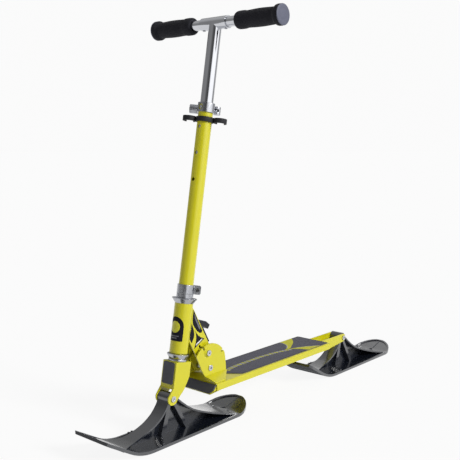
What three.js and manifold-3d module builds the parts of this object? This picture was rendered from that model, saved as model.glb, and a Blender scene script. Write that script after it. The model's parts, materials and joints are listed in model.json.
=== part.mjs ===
// Snow scooter: a kick scooter frame on two pivoting plastic skis.
// Millimetres, +Z up, the front faces -Y and +X is the rider's left.
// The origin is on the ground, midway between the front tip and the rear tail.
import * as THREE from 'three';
import { mergeVertices } from 'three/addons/utils/BufferGeometryUtils.js';
import Module from 'manifold-3d';

const wasm = await Module();
wasm.setup();

const degrees = Math.PI / 180;

// Fits shared by all pieces
const fit = 0.3; // gap between pieces that touch or turn in one another
const overrun = 2; // how far a cutting tool passes the faces that it cuts

// Overall layout
const deckAhead = 102; // from the front ski's pivot back to the deck
const deckBehind = 117; // from the deck back to the rear ski's pivot
const pivotHeight = 80.5; // of both ski pivots above the ground
const rake = 9.84 * degrees; // how far the steering column leans back
const pivotTrail = 21.3; // the front pivot lies this far ahead of the steering axis

// Skis
const skiHalfWidth = 54;
const tipReach = 206; // ahead of the pivot
const tailReach = 240; // behind the pivot
const tipBend = 121; // where the tip's slope would meet the flat sole
const tipAngle = 30 * degrees;
const tipBendRadius = 130;
const tailBend = 186;
const tailAngle = 17 * degrees;
const tailBendRadius = 80;
const skiSheet = 4;
const rimWidth = 5;
const rimRise = 2.4;
const tipCorner = 13;
const tailRound = 60; // length of the rounded tail end
const tailRoundPower = 0.59;
const towerTop = 92.4; // top of the ski's tower above its sole
const saddleSheet = 3.6;
const towerWeb = 5;
const towerBossRadius = 11.5;
const strutHalf = 14;
const footRibWidth = 3.2;
const footRibRise = 6;
const creaseWidth = 2.4;
const creaseRise = 1.3;
// Along the ski as shares of the tip's or tail's reach, up as shares of the tower's
// top, and across as shares of the way from the tower's half width to the ski's
const frontSaddleShares = [
  [-0.816, 0.325, 1], [-0.767, 0.285, 0.785], [-0.718, 0.245, 0.571], [-0.66, 0.223, 0.383],
  [-0.602, 0.214, 0.223], [-0.544, 0.212, 0.115], [-0.485, 0.226, 0.048], [-0.417, 0.26, 0.01],
  [-0.32, 0.322, 0], [-0.243, 0.392, 0], [-0.165, 0.498, 0], [-0.126, 0.577, 0],
  [-0.087, 0.676, 0], [-0.058, 0.78, 0], [-0.03, 0.93, 0], [-0.012, 1, 0],
];
const rearSaddleShares = [
  [0.023, 1, 0], [0.046, 0.93, 0], [0.084, 0.81, 0], [0.208, 0.543, 0.12],
  [0.321, 0.391, 0.227], [0.488, 0.239, 0.493], [0.679, 0.112, 0.78], [0.743, 0.075, 0.95],
];
const frontStrutShares = { foot: [-0.155, -0.087], neck: [-0.032, 0.008] };
const rearStrutShares = { foot: [0.188, 0.225], neck: [-0.008, 0.032] };
const footRibShares = [{ near: [0.24, -0.204], far: [0.93, -0.325] },
  { near: [0.33, -0.155], far: [0.94, -0.282] }];
const creaseShares = { joint: 0.8, end: 0.97, armAcross: 0.62, armBack: 0.66 };

// Ski pivots: a bolt through a steel bush
const axleRadius = 4;
const bushWall = 1.6;
const headRadius = 6.5;
const headHeight = 2.2;
const socketRadius = 2.9;
const socketDepth = 1.5;
const nutRadius = 7.2;
const nutHeight = 6;

// Fork, a folded sheet bracket under the head tube, placed along the steering axis
const forkHalfWidth = 20;
const sheet = 3; // of the fork, the rear arms, the neck and the fold bracket
const forkFront = 23;
const forkRear = 22;
const forkTop = 155.5;
const forkWaist = 123.6;
const forkHeelRear = 9.85;
const forkHeel = 95.6;
const forkLip = 98;
const earRadius = 14;
const insertHalfWidth = 16;
const insertSheet = 2;
const insertBottom = 107;
const insertTopInset = 1.5;
const insertCorner = 5;

// Headset and steering column, heights along the steering axis
const columnRadius = 16;
const columnWall = 1.7;
const headTubeRadius = 20;
const headTubeWall = 1.8;
const headTubeBottom = 173;
const headTubeTop = 280;
const cupSkirt = 10;
const raceRadius = 20.5;
const raceHeight = 4.5;
const lowerCupRadius = 24.3;
// Out as shares of the cup's radius, up as shares of its height
const lowerCupShares = [[0.8, 0], [1, 0.65], [1, 0.82], [0.84, 1]];
const dishRadius = 27.6;
const dishRise = 11;
const dishSheet = 2.2;
const locknutRadius = 18.4;
const locknutHeight = 18;
const notchRadius = 6.5;
const notchDepth = 1.6;
const lowerClampHeight = 19.4;
const clampWall = 2.6;
const lowerEarReach = 33;
const lowerEarSheet = 4;
const lowerEarGap = 2.6;
const lowerEarAngle = -45 * degrees; // from straight back, turned toward +X
const smallBoltRadius = 2.5;
const smallHeadRadius = 4.4;
const smallHeadHeight = 3.2;
const columnTop = 712;

// Height setting: holes in the column and a sprung button in the stem
const buttonRadius = 3.8;
const topHoleInset = 7.6; // below the column's top
const lowerHoleDrops = { first: 42.2, second: 99.1, third: 157 };
const clampHoleRadius = 6.2;
const buttonProud = 1;

// Upper clamp with its cam lever, turned about the column
const upperClampHeight = 20.6;
const skewerAngle = 35 * degrees;
const skewerReach = 25.5; // from the steering axis
const clampSlot = 3;
const barrelRadius = 8.6;
const barrelLeft = 12; // from the slot's middle to the cam's end
const barrelRight = 17; // to the nut's end
const skewerRadius = 2.6;
const camRadius = 8.2;
const camHeight = 17.6;
const camPinRadius = 2.4;
const camSlot = 6;
const leverSheet = 3.6;
const leverHeight = 11;
const leverLength = 40;
const leverSwing = 110 * degrees;
const knobRadius = 10;
const knobLength = 22;
const knobFlutes = 11;
const fluteRadius = 1.3;

// Rubber clip on the column that stores the handles
const holderDrop = 39.1; // from the column's top to the clip's bottom
const holderHeight = 10.5;
const holderWall = 3.4;
const clipReach = 33.7;
const clipWall = 3.3;
const clipMouth = 15;

// T-bar and handles
const handleRise = 177; // from the column's top to the handlebar's axis
const stemRadius = columnRadius - columnWall - fit;
const stemWall = 1.5;
const stemTail = 104.4; // of the stem below the top hole
const teeHalfLength = 37;
const handleRadius = 11.1;
const handleWall = 1.7;
const teeWall = 2.5;
const handleInset = 6; // the handle tube's inner end from the middle
const gripStart = 64.5;
const gripEnd = 180.6;
const gripFoamRadius = 18;
const endCapRadius = 21.8;
const endCapSheet = 2.6;
const endCapPlug = 12;
const snapRadius = 3;
const snapFromEnd = 5.4;
const snapProud = 1.2;
const snapHead = 1.2;
// Along the grip as shares of its length, out as shares of its foam's radius
const gripProfileShares = [
  [0, 0.9], [0.012, 0.99], [0.045, 1.055], [0.18, 1.06], [0.22, 1.0], [0.3, 1.01],
  [0.46, 1.05], [0.62, 1.05], [0.78, 1.0], [0.865, 0.985], [0.895, 1.1], [0.925, 1.21], [0.985, 1.22],
  [1, 1.19],
];

// Deck, a folded channel with its flanges turned in below
const deckLength = 444;
const deckHalfWidth = 54;
const deckTop = 95;
const deckHeight = 15.5;
const deckSheet = 2.6;
const deckEdgeRadius = 3.5;
const deckFlange = 12;
const tapeSheet = 0.9;
const tapeEdge = 5.5; // bare deck beside the tape
const tapeGap = 1; // between the fold bracket and the tape
const tapeCutAcross = 32;
const tapeCutBack = 26;

// Front nose below the deck's end
const noseHalfWidth = 51;
const noseReach = 12.5;
const noseDrop = 9;
const noseBack = 44;
const noseTopDrop = 3.5;
const noseCorner = 10; // cut off the nose's lower corners
const capSheet = 4.5;
const capHalfWidth = 52;

// Fold: the neck turns on a bolt between two bracket plates
const foldBehind = 9.8; // the fold axis lies this far behind the deck's front end
const foldHeight = 123.8;
const foldAngle = 76 * degrees;
const bracketHalfWidth = 24;
const bracketArc = 54.5;
const bracketRear = 56;
const bracketFootHalfWidth = 50;
const bracketFootRise = 13;
const bracketFootCut = 34; // how far forward the foot's rear edge runs on its way out
const lockRadius = 49.2;
const lockAngle = 113 * degrees;
const lockPinRadius = 2.5;
const lockTravel = 8;
const lugInner = 43;
const lugOuter = 53.5;
const lugHalfAngle = 9.2 * degrees;
const lugSideGap = 1;
const stopRadius = 37;
const stopAngle = 103.3 * degrees;
const stopBoss = 11;
const stopBossRise = 3.4;
const barrelWall = 3;
// Back and up from the fold bolt as shares of the bracket's arc
const bracketFrontShares = { shoulder: [-0.782, 0.606], waist: [-0.506, 0.024], toe: -0.18 };
const bracketRearShares = [[0.985, -0.339], [0.928, 0.253]];

// Neck: a folded arm from the fold bolt up to the head tube
const armTilt = 29.4 * degrees;
const neckHalfWidth = 14;
const armFront = 14;
const armRear = 31.6;
const armBoss = 14;
const armRearMeet = 155;
const armFrontMeet = 97;
const armWebBottom = 61;
const armShoulder = 30;
const springSeat = 80;
const springRadius = 4;
const springWire = 1.2;
const springAcross = 20;

// Release pull on the neck's back
const pullHalfWidth = 6.5; // of its knob and link
const pullStripHalfWidth = 13;
const pullSheet = 4.6;
const pullBottom = 45.3;
const pullTop = 100;
const pullLinkHeight = 6.6;
const pullKnobReach = 27;
// Out from the neck's back as shares of the knob's reach, up from the pull's top down
const pullKnobShares = [
  [0, 0.04], [0.38, -0.1], [0.8, -0.58], [1, -1.1], [0.64, -1.26], [0.44, -0.9],
  [0.22, -0.62], [0, -0.46],
];

// Rear arms, two upright plates from under the deck's end to the rear ski
const armHeightAtPivot = 10.5;
const armRun = 40; // under the deck
const armBelly = 62.6; // height of their lowest corner
const armBellyAhead = 76; // of the rear pivot

// Places that follow from the sizes above
const topHoleHeight = columnTop - topHoleInset;
const holderBottom = columnTop - holderDrop;
const stemBottom = topHoleHeight - stemTail;
const handleHeight = columnTop + handleRise;
const wheelbase = deckAhead + deckLength + deckBehind;
const frontPivotY = (tipReach - tailReach - wheelbase) / 2;
const rearPivotY = frontPivotY + wheelbase;
const axisFootY = frontPivotY + pivotTrail - pivotHeight * Math.tan(rake);
const deckFront = frontPivotY + deckAhead;
const deckRear = deckFront + deckLength;
const foldY = deckFront + foldBehind;
const tapeFront = foldY + bracketRear + tapeGap;
const forkInner = forkHalfWidth - sheet;
const towerHalf = forkInner - fit;
const bushRadius = axleRadius + fit + bushWall;
const earBack = -pivotTrail * Math.cos(rake);
const earHeight = pivotHeight / Math.cos(rake) - pivotTrail * Math.sin(rake);
const headTubeBore = headTubeRadius - headTubeWall;
const bracketInner = bracketHalfWidth - sheet;
const neckInner = neckHalfWidth - sheet;
const handleBore = handleRadius - handleWall;
const teeRadius = handleRadius + fit + teeWall;

// Colours
const paint = { color: 0xd6d81c, roughness: 0.35, metalness: 0.1 };
const blackPlastic = { color: 0x17181c, roughness: 0.32, metalness: 0 };
const blackRubber = { color: 0x16161a, roughness: 0.8, metalness: 0 };
const foam = { color: 0x1b1c20, roughness: 0.95, metalness: 0 };
const steel = { color: 0xb4b6bb, roughness: 0.3, metalness: 0.9 };
const chrome = { color: 0xc9ccd2, roughness: 0.12, metalness: 1 };
const tape = { color: 0x55555f, roughness: 0.95, metalness: 0 };
const greyPlastic = { color: 0x8e9094, roughness: 0.5, metalness: 0 };

// Solids

// A closed geometry as a solid that can be joined and cut, its faces turned outward
function toSolid(source) {
  const geometry = source.clone();
  geometry.deleteAttribute('normal');
  geometry.deleteAttribute('uv');
  const merged = mergeVertices(geometry);
  const at = merged.attributes.position.array;
  const corners = merged.index.array;
  const kept = [];
  let volume = 0;
  for (let i = 0; i < corners.length; i += 3) {
    const [a, b, c] = [corners[i], corners[i + 1], corners[i + 2]];
    if (a === b || b === c || c === a) continue;
    kept.push(a, b, c);
    const p = new THREE.Vector3().fromArray(at, 3 * a);
    const q = new THREE.Vector3().fromArray(at, 3 * b);
    const r = new THREE.Vector3().fromArray(at, 3 * c);
    volume += p.dot(q.cross(r));
  }
  if (volume < 0) kept.reverse();
  return new wasm.Manifold(new wasm.Mesh({
    numProp: 3,
    vertProperties: new Float32Array(at),
    triVerts: new Uint32Array(kept),
  }));
}

function toGeometry(solid) {
  const mesh = solid.getMesh();
  const geometry = new THREE.BufferGeometry();
  geometry.setAttribute('position', new THREE.BufferAttribute(new Float32Array(mesh.vertProperties), 3));
  geometry.setIndex(new THREE.BufferAttribute(new Uint32Array(mesh.triVerts), 1));
  geometry.computeVertexNormals();
  return geometry;
}

const joined = (first, ...rest) => rest.reduce((sum, next) => sum.add(next), first);
const cut = (first, ...rest) => rest.reduce((left, next) => left.subtract(next), first);

// The turns that send a drawing's two axes and its depth to the model's axes
const facing = {
  x: new THREE.Matrix4().set(0, 0, 1, 0, 1, 0, 0, 0, 0, 1, 0, 0, 0, 0, 0, 1),
  y: new THREE.Matrix4().set(1, 0, 0, 0, 0, 0, 1, 0, 0, 1, 0, 0, 0, 0, 0, 1),
  z: new THREE.Matrix4(),
};

// An outline carried from one depth to another along an axis: (y, z) for x, (x, z) for y
// and (x, y) for z
function prism(axis, outline, from, to, place = null) {
  const shape = new THREE.Shape(outline.map(([u, v]) => new THREE.Vector2(u, v)));
  const geometry = new THREE.ExtrudeGeometry(shape, { depth: to - from, bevelEnabled: false });
  geometry.translate(0, 0, from);
  geometry.applyMatrix4(facing[axis]);
  if (place) geometry.applyMatrix4(place);
  return toSolid(geometry);
}

// A round bar along an axis, through a point given in the other two directions
function bar(axis, radius, from, to, u = 0, v = 0, sides = 20, place = null) {
  const outline = arc(u, v, radius, 0, 2 * Math.PI, sides).slice(0, -1);
  return prism(axis, outline, from, to, place);
}

// A profile of (radius, height) points that starts and ends on the axis, turned about
// Z, or about X for a grip
function turned(profile, sides = 26, place = null) {
  const points = profile.map(([radius, height]) => new THREE.Vector2(radius, height));
  const geometry = new THREE.LatheGeometry(points, sides);
  geometry.rotateX(Math.PI / 2);
  if (place) geometry.applyMatrix4(place);
  return toSolid(geometry);
}

// Outlines

function arc(u, v, radius, start, end, steps = 12) {
  return Array.from({ length: steps + 1 }, (_, i) => {
    const angle = start + (end - start) * i / steps;
    return [u + radius * Math.cos(angle), v + radius * Math.sin(angle)];
  });
}

const box = (u0, u1, v0, v1) => [[u0, v0], [u1, v0], [u1, v1], [u0, v1]];

// An outline or an open path with its corners rounded
function rounded(points, radius, closed = true, steps = 5) {
  const out = [];
  points.forEach((corner, i) => {
    const size = Array.isArray(radius) ? radius[i] : radius;
    if (!size || (!closed && (i === 0 || i === points.length - 1))) return out.push(corner);
    const here = new THREE.Vector2(...corner);
    const before = new THREE.Vector2(...points.at(i - 1)).sub(here);
    const after = new THREE.Vector2(...points[(i + 1) % points.length]).sub(here);
    const half = Math.acos(before.clone().normalize().dot(after.clone().normalize())) / 2;
    const back = Math.min(size / Math.tan(half), before.length() / 2, after.length() / 2);
    const near = here.clone().add(before.setLength(back));
    const far = here.clone().add(after.setLength(back));
    for (let k = 0; k <= steps; k += 1) {
      const t = k / steps;
      const a = near.clone().lerp(here, t);
      const b = here.clone().lerp(far, t);
      out.push(a.lerp(b, t).toArray());
    }
  });
  return out;
}

// A path with a thickness laid to its right
function strip(path, thickness) {
  const other = path.map(([u, v], i) => {
    const next = path[Math.min(i + 1, path.length - 1)];
    const last = path[Math.max(i - 1, 0)];
    const along = new THREE.Vector2(next[0] - last[0], next[1] - last[1]).normalize();
    return [u + along.y * thickness, v - along.x * thickness];
  });
  return [...path, ...other.reverse()];
}

function smooth(points, steps) {
  const curve = new THREE.SplineCurve(points.map(([u, v]) => new THREE.Vector2(u, v)));
  return curve.getPoints(steps).map((p) => [p.x, p.y]);
}

const mirrored = (outline) => outline.map(([u, v]) => [-u, v]);
const move = (x, y, z) => new THREE.Matrix4().makeTranslation(x, y, z);
const turnZ = (angle) => new THREE.Matrix4().makeRotationZ(angle);

// Groups: each moving piece hangs on the frame that it turns with

const scooter = new THREE.Group();
const steering = new THREE.Group();
steering.position.set(0, axisFootY, 0);
steering.rotation.x = -rake;
const arm = new THREE.Group();
arm.position.set(0, foldY, foldHeight);
arm.rotation.x = armTilt;
const handlebar = new THREE.Group();
handlebar.position.z = handleHeight;
steering.add(handlebar);
const frontSki = new THREE.Group();
frontSki.position.set(0, frontPivotY, pivotHeight);
const rearSki = new THREE.Group();
rearSki.position.set(0, rearPivotY, pivotHeight);
scooter.add(steering, arm, frontSki, rearSki);
scooter.updateMatrixWorld(true);

function add(group, name, solid, look) {
  const mesh = new THREE.Mesh(toGeometry(solid), new THREE.MeshStandardMaterial(look));
  mesh.name = name;
  group.add(mesh);
}

// Hexagon drawn across its corners
const hexagon = (radius) => arc(0, 0, radius, 0, 2 * Math.PI, 6).slice(0, -1);

// A socket-head bolt and its nut along X: the head outside `left`, the nut outside `right`
function addBolt(group, name, radius, left, right, y, z, bossed = 0) {
  const top = left + bossed + fit;
  const nutTop = right + bossed + fit;
  const shank = bar('x', radius, -nutTop - nutHeight, top + overrun, y, z, 14);
  const head = bar('x', headRadius, top, top + headHeight, y, z, 14);
  const socket = prism('x', hexagon(socketRadius), top + headHeight - socketDepth,
    top + headHeight + overrun, move(0, y, z));
  add(group, `${name}_bolt`, cut(joined(shank, head), socket), chrome);
  const nut = prism('x', hexagon(nutRadius), -nutTop - nutHeight, -nutTop, move(0, y, z));
  const bore = bar('x', radius + fit, -nutTop - nutHeight - overrun, -nutTop + overrun, y, z, 14);
  add(group, `${name}_nut`, cut(nut, bore), steel);
}

// Skis

const soleLine = rounded([
  [-tipReach, (tipReach - tipBend) * Math.tan(tipAngle)], [-tipBend, 0], [tailBend, 0],
  [tailReach, (tailReach - tailBend) * Math.tan(tailAngle)],
], [0, tipBendRadius, tailBendRadius, 0], false, 6).map(([y, z]) => [y, z - pivotHeight]);

function skiPlan(inset) {
  const half = skiHalfWidth - inset;
  const roundStart = tailReach - tailRound;
  const steps = 7;
  const side = Array.from({ length: steps }, (_, i) => {
    const t = Math.sin((i / steps) * Math.PI / 2);
    return [half * (1 - t * t) ** tailRoundPower, roundStart + (tailRound - inset) * t];
  });
  const front = inset - tipReach;
  return [
    ...rounded([[-half, front], [half, front]], 0), ...side, [0, tailReach - inset],
    ...mirrored(side).reverse(),
  ];
}

function skiSheetOutline(thickness) {
  return strip(soleLine, -thickness);
}

const saddlePoints = [
  ...frontSaddleShares.map(([y, z, w]) => [y * tipReach, z, w]),
  ...rearSaddleShares.map(([y, z, w]) => [y * tailReach, z, w]),
].map(([y, z, w]) => [y, z * towerTop - pivotHeight, towerHalf + w * (skiHalfWidth - towerHalf)]);

function makeSki() {
  const wide = skiHalfWidth + overrun;
  const low = -pivotHeight - overrun;
  const high = towerTop;
  const plan = prism('z', skiPlan(0), low, high);
  const corners = rounded(box(-skiHalfWidth, skiHalfWidth, -tipReach, tailReach + tipCorner), tipCorner);
  const corner = prism('z', corners, low, high);
  const inner = prism('z', skiPlan(rimWidth), low, high);
  const base = prism('x', skiSheetOutline(skiSheet), -wide, wide).intersect(plan);
  const rim = prism('x', skiSheetOutline(skiSheet + rimRise), -wide, wide).intersect(plan).subtract(inner);

  const top = smooth(saddlePoints.map(([y, z]) => [y, z]), 44);
  const edge = smooth(saddlePoints.map(([y, , w]) => [w, y]), 30);
  const saddlePlan = prism('z', [...edge, ...mirrored(edge).reverse()], low, high);
  const saddle = prism('x', strip(top, saddleSheet), -wide, wide).intersect(saddlePlan);
  const [first, last] = [top[0], top.at(-1)];
  const webFoot = soleLine.map(([y, z]) => [y, z + skiSheet / 2]);
  const below = prism('x', [...webFoot, [tailReach, low], [-tipReach, low]], -wide, wide);
  const web = cut(prism('x', [...top, [last[0], low], [first[0], low]], -towerWeb / 2, towerWeb / 2), below);
  const boss = bar('x', towerBossRadius, -towerHalf, towerHalf);

  const strut = ({ foot, neck }, reach) => {
    const floor = skiSheet / 2 - pivotHeight;
    const side = [[foot[0] * reach, floor], [foot[1] * reach, floor], [neck[1] * reach, 0],
      [neck[0] * reach, 0]];
    return prism('x', side, -strutHalf, strutHalf);
  };
  const pieces = [base, rim, saddle, web, boss, strut(frontStrutShares, tipReach),
    strut(rearStrutShares, tailReach)];

  const rib = (from, to, width, rise) => {
    const along = new THREE.Vector2(to[0] - from[0], to[1] - from[1]).normalize();
    const [dx, dy] = [along.y * width / 2, -along.x * width / 2];
    const outline = [[from[0] + dx, from[1] + dy], [to[0] + dx, to[1] + dy],
      [to[0] - dx, to[1] - dy], [from[0] - dx, from[1] - dy]];
    const bars = [outline, mirrored(outline)].map((each) => prism('z', each, low, high));
    return bars.map((each) => prism('x', skiSheetOutline(skiSheet + rise), -wide, wide).intersect(each));
  };
  footRibShares.forEach(({ near, far }) => pieces.push(...rib([near[0] * skiHalfWidth, near[1] * tipReach],
    [far[0] * skiHalfWidth, far[1] * tipReach], footRibWidth, footRibRise)));
  const { joint, end, armAcross, armBack } = creaseShares;
  pieces.push(rib([0, joint * tailReach], [0, end * tailReach], creaseWidth, creaseRise)[0]);
  pieces.push(...rib([0, joint * tailReach], [armAcross * skiHalfWidth, armBack * tailReach], creaseWidth,
    creaseRise));

  const bore = bar('x', bushRadius + fit, -towerHalf - overrun, towerHalf + overrun, 0, 0, 18);
  return cut(joined(...pieces).intersect(corner), bore);
}

function makeBush() {
  const outside = bar('x', bushRadius, -towerHalf, towerHalf, 0, 0, 18);
  return cut(outside, bar('x', axleRadius + fit, -forkHalfWidth, forkHalfWidth, 0, 0, 20));
}

const ski = makeSki();
for (const [group, name] of [[frontSki, 'front'], [rearSki, 'rear']]) {
  add(group, `${name}_ski`, ski, blackPlastic);
  add(group, `${name}_ski_bush`, makeBush(), steel);
}
addBolt(steering, 'front_ski', axleRadius, forkHalfWidth, forkHalfWidth, earBack, earHeight);
addBolt(rearSki, 'rear_ski', axleRadius, forkHalfWidth, forkHalfWidth, 0, 0);

// Fork

const earFrom = Math.PI * 0.93;
const forkSide = [
  [-forkFront, forkTop], [-forkFront, forkLip + sheet],
  ...arc(earBack, earHeight, earRadius, earFrom, 2 * Math.PI * 0.96, 14),
  [forkHeelRear, forkHeel], [forkRear, forkWaist], [forkRear, forkTop],
];
const forkShell = prism('x', forkSide, -forkHalfWidth, forkHalfWidth);
const forkHollow = prism('x', box(sheet - forkFront, forkRear + overrun, 0, forkTop - sheet), -forkInner,
  forkInner);
const forkMouth = prism('x', box(earBack - 2 * earRadius, forkRear + overrun, 0, forkLip), -forkInner,
  forkInner);
const forkBore = bar('x', axleRadius + fit, -forkHalfWidth - overrun, forkHalfWidth + overrun, earBack,
  earHeight, 14);
add(steering, 'fork', cut(forkShell, forkHollow, forkMouth, forkBore), paint);

const insertOutline = rounded(box(-insertHalfWidth, insertHalfWidth, insertBottom,
  forkTop - insertTopInset), insertCorner);
add(steering, 'fork_front_plate', prism('y', insertOutline, -forkFront - fit - insertSheet,
  -forkFront - fit), blackPlastic);

// Headset

const raceBottom = forkTop + fit;
const tubeFit = columnRadius + fit;
const race = turned([[0, raceBottom], [raceRadius - 1.5 * fit, raceBottom],
  [raceRadius, raceBottom + raceHeight / 2],
  [raceRadius - 2 * fit, raceBottom + raceHeight], [0, raceBottom + raceHeight]]);
const throughHeadset = bar('z', tubeFit, 0, columnTop, 0, 0, 26);
add(steering, 'crown_race', cut(race, throughHeadset), steel);

const skirtRadius = headTubeBore - fit;
const lowerCupBottom = raceBottom + raceHeight + fit;
const lowerCupTop = headTubeBottom - fit;
const lowerCupSide = lowerCupShares.map(([out, up]) => [out * lowerCupRadius,
  lowerCupBottom + up * (lowerCupTop - lowerCupBottom)]);
const lowerCup = turned([[0, lowerCupBottom], ...lowerCupSide, [skirtRadius, lowerCupTop],
  [skirtRadius, lowerCupTop + cupSkirt], [0, lowerCupTop + cupSkirt]]);
add(steering, 'lower_headset_cup', cut(lowerCup, throughHeadset), steel);

const upperCupBottom = headTubeTop + fit;
const upperCup = turned([[0, upperCupBottom - cupSkirt], [skirtRadius, upperCupBottom - cupSkirt],
  [skirtRadius, upperCupBottom], [headTubeRadius, upperCupBottom],
  [dishRadius, upperCupBottom + dishRise - dishSheet / 2],
  [dishRadius - dishSheet / 2, upperCupBottom + dishRise],
  [locknutRadius + dishSheet, upperCupBottom + dishSheet],
  [0, upperCupBottom + dishSheet]], 28);
add(steering, 'upper_headset_cup', cut(upperCup, throughHeadset), steel);

const headTube = cut(bar('z', headTubeRadius, headTubeBottom, headTubeTop, 0, 0, 26),
  bar('z', headTubeBore, headTubeBottom - overrun, headTubeTop + overrun, 0, 0, 26));
add(steering, 'head_tube', headTube, paint);

const locknutBottom = upperCupBottom + dishSheet + fit;
const locknutTop = locknutBottom + locknutHeight;
const notches = [0, 1, 2, 3].map((k) => {
  const radius = locknutRadius - notchDepth;
  return bar('y', notchRadius, -locknutRadius - overrun, -radius, 0, locknutTop, 10, turnZ(k * Math.PI / 2));
});
add(steering, 'headset_locknut', cut(bar('z', locknutRadius, locknutBottom, locknutTop, 0, 0, 26),
  throughHeadset, ...notches), steel);

// Clamp ring at the headset, split between two ears

const lowerClampBottom = locknutTop + fit;
const lowerClampTop = lowerClampBottom + lowerClampHeight;
const lowerClampMiddle = (lowerClampBottom + lowerClampTop) / 2;
const lowerEars = prism('x', rounded(box(columnRadius, lowerEarReach, lowerClampBottom, lowerClampTop),
  lowerEarSheet),
  -lowerEarGap / 2 - lowerEarSheet, lowerEarGap / 2 + lowerEarSheet, turnZ(lowerEarAngle));
const lowerSlot = prism('x', box(0, lowerEarReach + overrun, lowerClampBottom - overrun,
  lowerClampTop + overrun),
  -lowerEarGap / 2, lowerEarGap / 2, turnZ(lowerEarAngle));
const lowerBoltReach = (columnRadius + clampWall + lowerEarReach) / 2;
const lowerEarOuter = lowerEarGap / 2 + lowerEarSheet;
const lowerBoltHole = bar('x', smallBoltRadius + fit, -lowerEarOuter - overrun, lowerEarOuter + overrun,
  lowerBoltReach, lowerClampMiddle, 16, turnZ(lowerEarAngle));
const lowerRing = bar('z', columnRadius + clampWall, lowerClampBottom, lowerClampTop, 0, 0, 26);
add(steering, 'lower_clamp', cut(joined(lowerRing, lowerEars), throughHeadset, lowerSlot, lowerBoltHole),
  steel);

const lowerBoltShank = bar('x', smallBoltRadius, -lowerEarOuter - fit - smallHeadHeight,
  lowerEarOuter + fit + overrun / 2,
  lowerBoltReach, lowerClampMiddle, 16, turnZ(lowerEarAngle));
const lowerBoltHead = bar('x', smallHeadRadius, lowerEarOuter + fit, lowerEarOuter + fit + smallHeadHeight,
  lowerBoltReach, lowerClampMiddle, 16, turnZ(lowerEarAngle));
const lowerBoltNut = prism('x', hexagon(smallHeadRadius), -lowerEarOuter - fit - smallHeadHeight,
  -lowerEarOuter - fit,
  turnZ(lowerEarAngle).multiply(move(0, lowerBoltReach, lowerClampMiddle)));
add(steering, 'lower_clamp_bolt', joined(lowerBoltShank, lowerBoltHead, lowerBoltNut), chrome);

// Steering column with its height holes

const frontHole = (radius, height) => bar('y', radius, -columnRadius - overrun, 0, 0, height, 14);
const { first: firstDrop, second: secondDrop, third: thirdDrop } = lowerHoleDrops;
const heightHoles = [0, firstDrop, secondDrop, thirdDrop].map((drop) => frontHole(buttonRadius + fit,
  topHoleHeight - drop));
const columnBore = bar('z', columnRadius - columnWall, raceBottom - overrun, columnTop + overrun, 0, 0, 26);
add(steering, 'steering_column', cut(bar('z', columnRadius, raceBottom, columnTop, 0, 0, 26), columnBore,
  ...heightHoles), paint);

// Upper clamp, its skewer, nut and cam lever

const clampTop = columnTop + dishSheet;
const clampBottom = clampTop - upperClampHeight;
const skewerHeight = (clampBottom + clampTop) / 2;
const clampTurn = turnZ(skewerAngle);
const clampRing = bar('z', columnRadius + clampWall, clampBottom, clampTop, 0, 0, 26);
const barrelSide = [...box(0, skewerReach, -barrelRadius, barrelRadius).slice(0, 2),
  ...arc(skewerReach, 0, barrelRadius, -Math.PI / 2, Math.PI / 2, 12).slice(1, -1),
  ...box(0, skewerReach, -barrelRadius, barrelRadius).slice(2)];
const barrels = prism('x', barrelSide, -barrelRight, barrelLeft,
  turnZ(skewerAngle).multiply(move(0, 0, skewerHeight)));
const clampSplit = prism('x', box(0, skewerReach + 2 * barrelRadius, clampBottom - overrun,
  clampTop + overrun),
  -clampSlot / 2, clampSlot / 2, clampTurn);
const clampBore = bar('z', tubeFit, clampBottom - overrun, clampTop + overrun, 0, 0, 26);
const skewerHole = bar('x', skewerRadius + fit, -barrelRight - overrun, barrelLeft + overrun, skewerReach,
  skewerHeight, 12, clampTurn);
const clampFrontHole = bar('y', clampHoleRadius, -columnRadius - clampWall - overrun, 0, 0, topHoleHeight,
  18);
add(steering, 'upper_clamp', cut(joined(clampRing, barrels), clampBore, clampSplit, skewerHole,
  clampFrontHole), steel);

const camX = barrelLeft + fit + camRadius;
const camBottom = skewerHeight - camHeight / 2;
const camTopHeight = skewerHeight + camHeight / 2;
const skewerRod = bar('x', skewerRadius, -barrelRight - fit - knobLength + overrun, camX, skewerReach,
  skewerHeight, 12, clampTurn);
const camPin = bar('z', camPinRadius, camBottom, camTopHeight, camX, skewerReach, 12, clampTurn);
add(steering, 'clamp_skewer', joined(skewerRod, camPin), steel);

const knobFrom = -barrelRight - fit - knobLength;
const flutes = Array.from({ length: knobFlutes }, (_, k) => {
  const angle = 2 * Math.PI * k / knobFlutes;
  return bar('x', fluteRadius, knobFrom - overrun, -barrelRight - 3 * fluteRadius,
    skewerReach + knobRadius * Math.cos(angle), skewerHeight + knobRadius * Math.sin(angle), 6, clampTurn);
});
const knobBore = bar('x', skewerRadius + fit, knobFrom + 2 * fit, barrelLeft, skewerReach, skewerHeight, 12,
  clampTurn);
add(steering, 'clamp_nut',
  cut(bar('x', knobRadius, knobFrom, -barrelRight - fit, skewerReach, skewerHeight, 22, clampTurn),
  knobBore, ...flutes), steel);

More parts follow.
